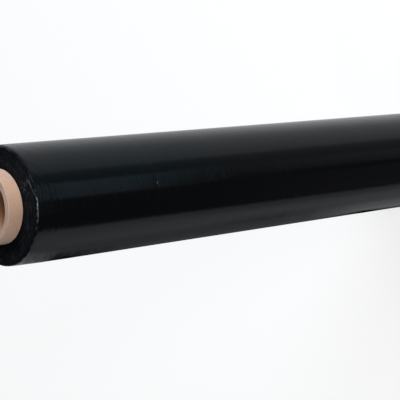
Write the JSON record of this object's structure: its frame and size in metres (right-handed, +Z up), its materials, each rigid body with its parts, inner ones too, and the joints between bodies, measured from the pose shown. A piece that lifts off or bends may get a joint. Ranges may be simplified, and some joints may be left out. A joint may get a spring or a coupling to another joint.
{
  "type": "stretch wrap roll",
  "caption": "Long roll of black stretch film wound tightly on a hollow cardboard core that stands out a little at both ends.",
  "frame": {"origin": "centre of the lower core end, on the surface that the roll stands on", "axes": "+Z up along the axis of the core and the film; -Y faces the viewer and the film's free end is at the back"},
  "size_m": [0.0937, 0.0939, 0.526],
  "materials": {
    "core_board": "matte",
    "black_film": "gloss"
  },
  "bodies": {
    "root": {"core_tube": "core_board", "film_winding": "black_film"}
  },
  "joints": []
}
